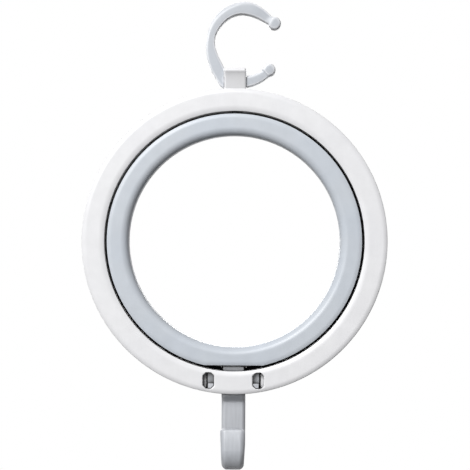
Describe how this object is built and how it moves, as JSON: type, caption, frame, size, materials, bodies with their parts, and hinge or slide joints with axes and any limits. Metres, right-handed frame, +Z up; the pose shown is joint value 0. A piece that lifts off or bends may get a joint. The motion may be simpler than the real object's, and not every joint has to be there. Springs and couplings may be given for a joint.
{
  "type": "accessory organizer hook",
  "caption": "Hanging organizer ring: a swivelling inner ring on pivots inside a fixed outer ring, with a rod clip hinged on top and a J hook below.",
  "frame": {"origin": "centre of the rod that the clip hangs from", "axes": "+Z up, the front face with the two windows faces -Y, +X to the viewer's right, the rod runs along Y"},
  "size_m": [0.1534, 0.022, 0.2351],
  "materials": {
    "white_plastic": "smooth moulded, satin gloss",
    "grey_plastic": "smooth moulded, satin gloss",
    "clip_plastic": "smooth moulded, satin gloss, slightly translucent"
  },
  "bodies": {
    "clip": {"rod_clip": "clip_plastic"},
    "outer_ring": {"outer_ring_front": "white_plastic", "outer_ring_rear": "white_plastic", "hook": "grey_plastic"},
    "inner_ring": {"inner_ring_front": "grey_plastic", "inner_ring_rear": "grey_plastic", "top_pivot_pin": "grey_plastic", "bottom_pivot_pin": "grey_plastic"}
  },
  "joints": [
    {"name": "clip_hinge", "type": "hinge", "parent": "clip", "child": "outer_ring", "pos_m": [-0.0028, 0, -0.0205], "axis": [1, 0, 0], "range_deg": [-100, 100]},
    {"name": "ring_swivel", "type": "hinge", "parent": "outer_ring", "child": "inner_ring", "pos_m": [-0.0028, 0, -0.101], "axis": [0, 0, 1], "continuous": true}
  ]
}
